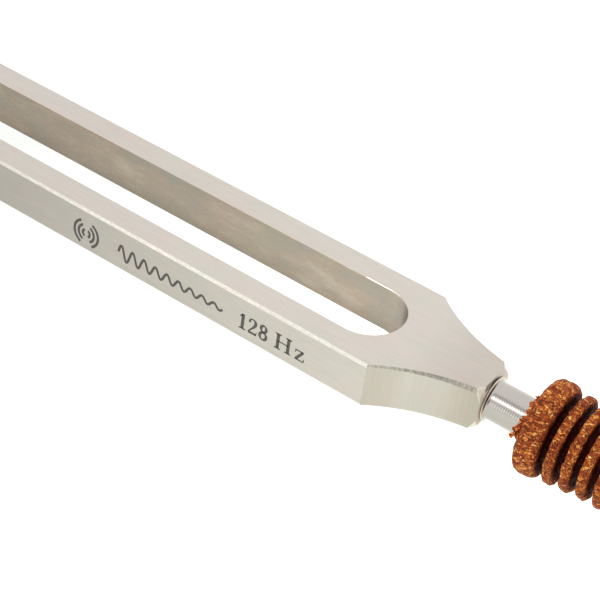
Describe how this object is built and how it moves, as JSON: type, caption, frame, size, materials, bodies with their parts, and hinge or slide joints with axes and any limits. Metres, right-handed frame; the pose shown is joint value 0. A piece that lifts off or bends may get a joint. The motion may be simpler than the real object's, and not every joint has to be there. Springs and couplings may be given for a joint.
{
  "type": "tuning fork",
  "caption": "Steel tuning fork with two square-edged tines, a hollow-shouldered yoke, a round stem, a ribbed granulate grip and a flat pressing foot.",
  "frame": {"origin": "centre of the foot's flat end face, on the stem's axis", "axes": "+X along the stem's axis and out of the foot, with the tines towards -X; +Y across the two tines; +Z out of one of the two broad faces that the slot goes through"},
  "size_m": [0.2966, 0.028, 0.0196],
  "materials": {
    "fork_steel": "fine brushed, satin",
    "stem_steel": "finely turned, bright",
    "granulate": "bonded bark and wood granulate, satin"
  },
  "bodies": {
    "root": {"fork_body": "fork_steel", "stem": "stem_steel", "grip": "granulate", "foot": "stem_steel"}
  },
  "joints": []
}
